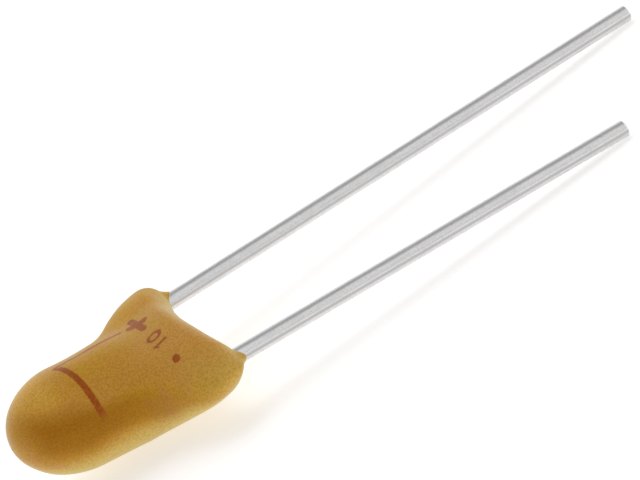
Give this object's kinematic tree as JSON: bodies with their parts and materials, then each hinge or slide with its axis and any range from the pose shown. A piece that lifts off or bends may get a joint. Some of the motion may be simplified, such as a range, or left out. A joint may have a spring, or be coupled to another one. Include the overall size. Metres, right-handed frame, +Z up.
{
  "type": "tantalum capacitor",
  "caption": "Dipped tantalum capacitor: a bead of ochre resin with flared shoulders over a sintered anode, on straight radial wire leads, the positive one longer.",
  "frame": {"origin": "centre of the part's footprint, on the surface that it lies on", "axes": "+X from the resin's rounded tip towards the lead ends, +Y towards the positive lead, +Z up, out of the printed face; the part lies on its belly and on both lead tips, so the leads slope down about 6 degrees towards +X"},
  "size_m": [0.0226, 0.007, 0.0035],
  "materials": {
    "resin": "satin dipped epoxy resin, ochre, with red ink marks",
    "tinned_wire": "bright tin plating with fine drawing lines",
    "sintered_tantalum": "porous sintered metal",
    "tantalum_wire": "drawn wire",
    "washer_plastic": "white fluoropolymer",
    "manganese_dioxide": "matt black crust",
    "graphite": "dark grey, slightly shiny",
    "silver_paint": "matt silver paint",
    "solder": "dull solder",
    "weld": "heat-dulled weld metal"
  },
  "bodies": {
    "root": {"resin_coat": "resin", "positive_lead": "tinned_wire", "negative_lead": "tinned_wire", "anode_pellet": "sintered_tantalum", "riser_wire": "tantalum_wire", "insulating_washer": "washer_plastic", "manganese_layer": "manganese_dioxide", "graphite_layer": "graphite", "silver_layer": "silver_paint", "solder_joint": "solder", "weld_nugget": "weld"}
  },
  "joints": []
}
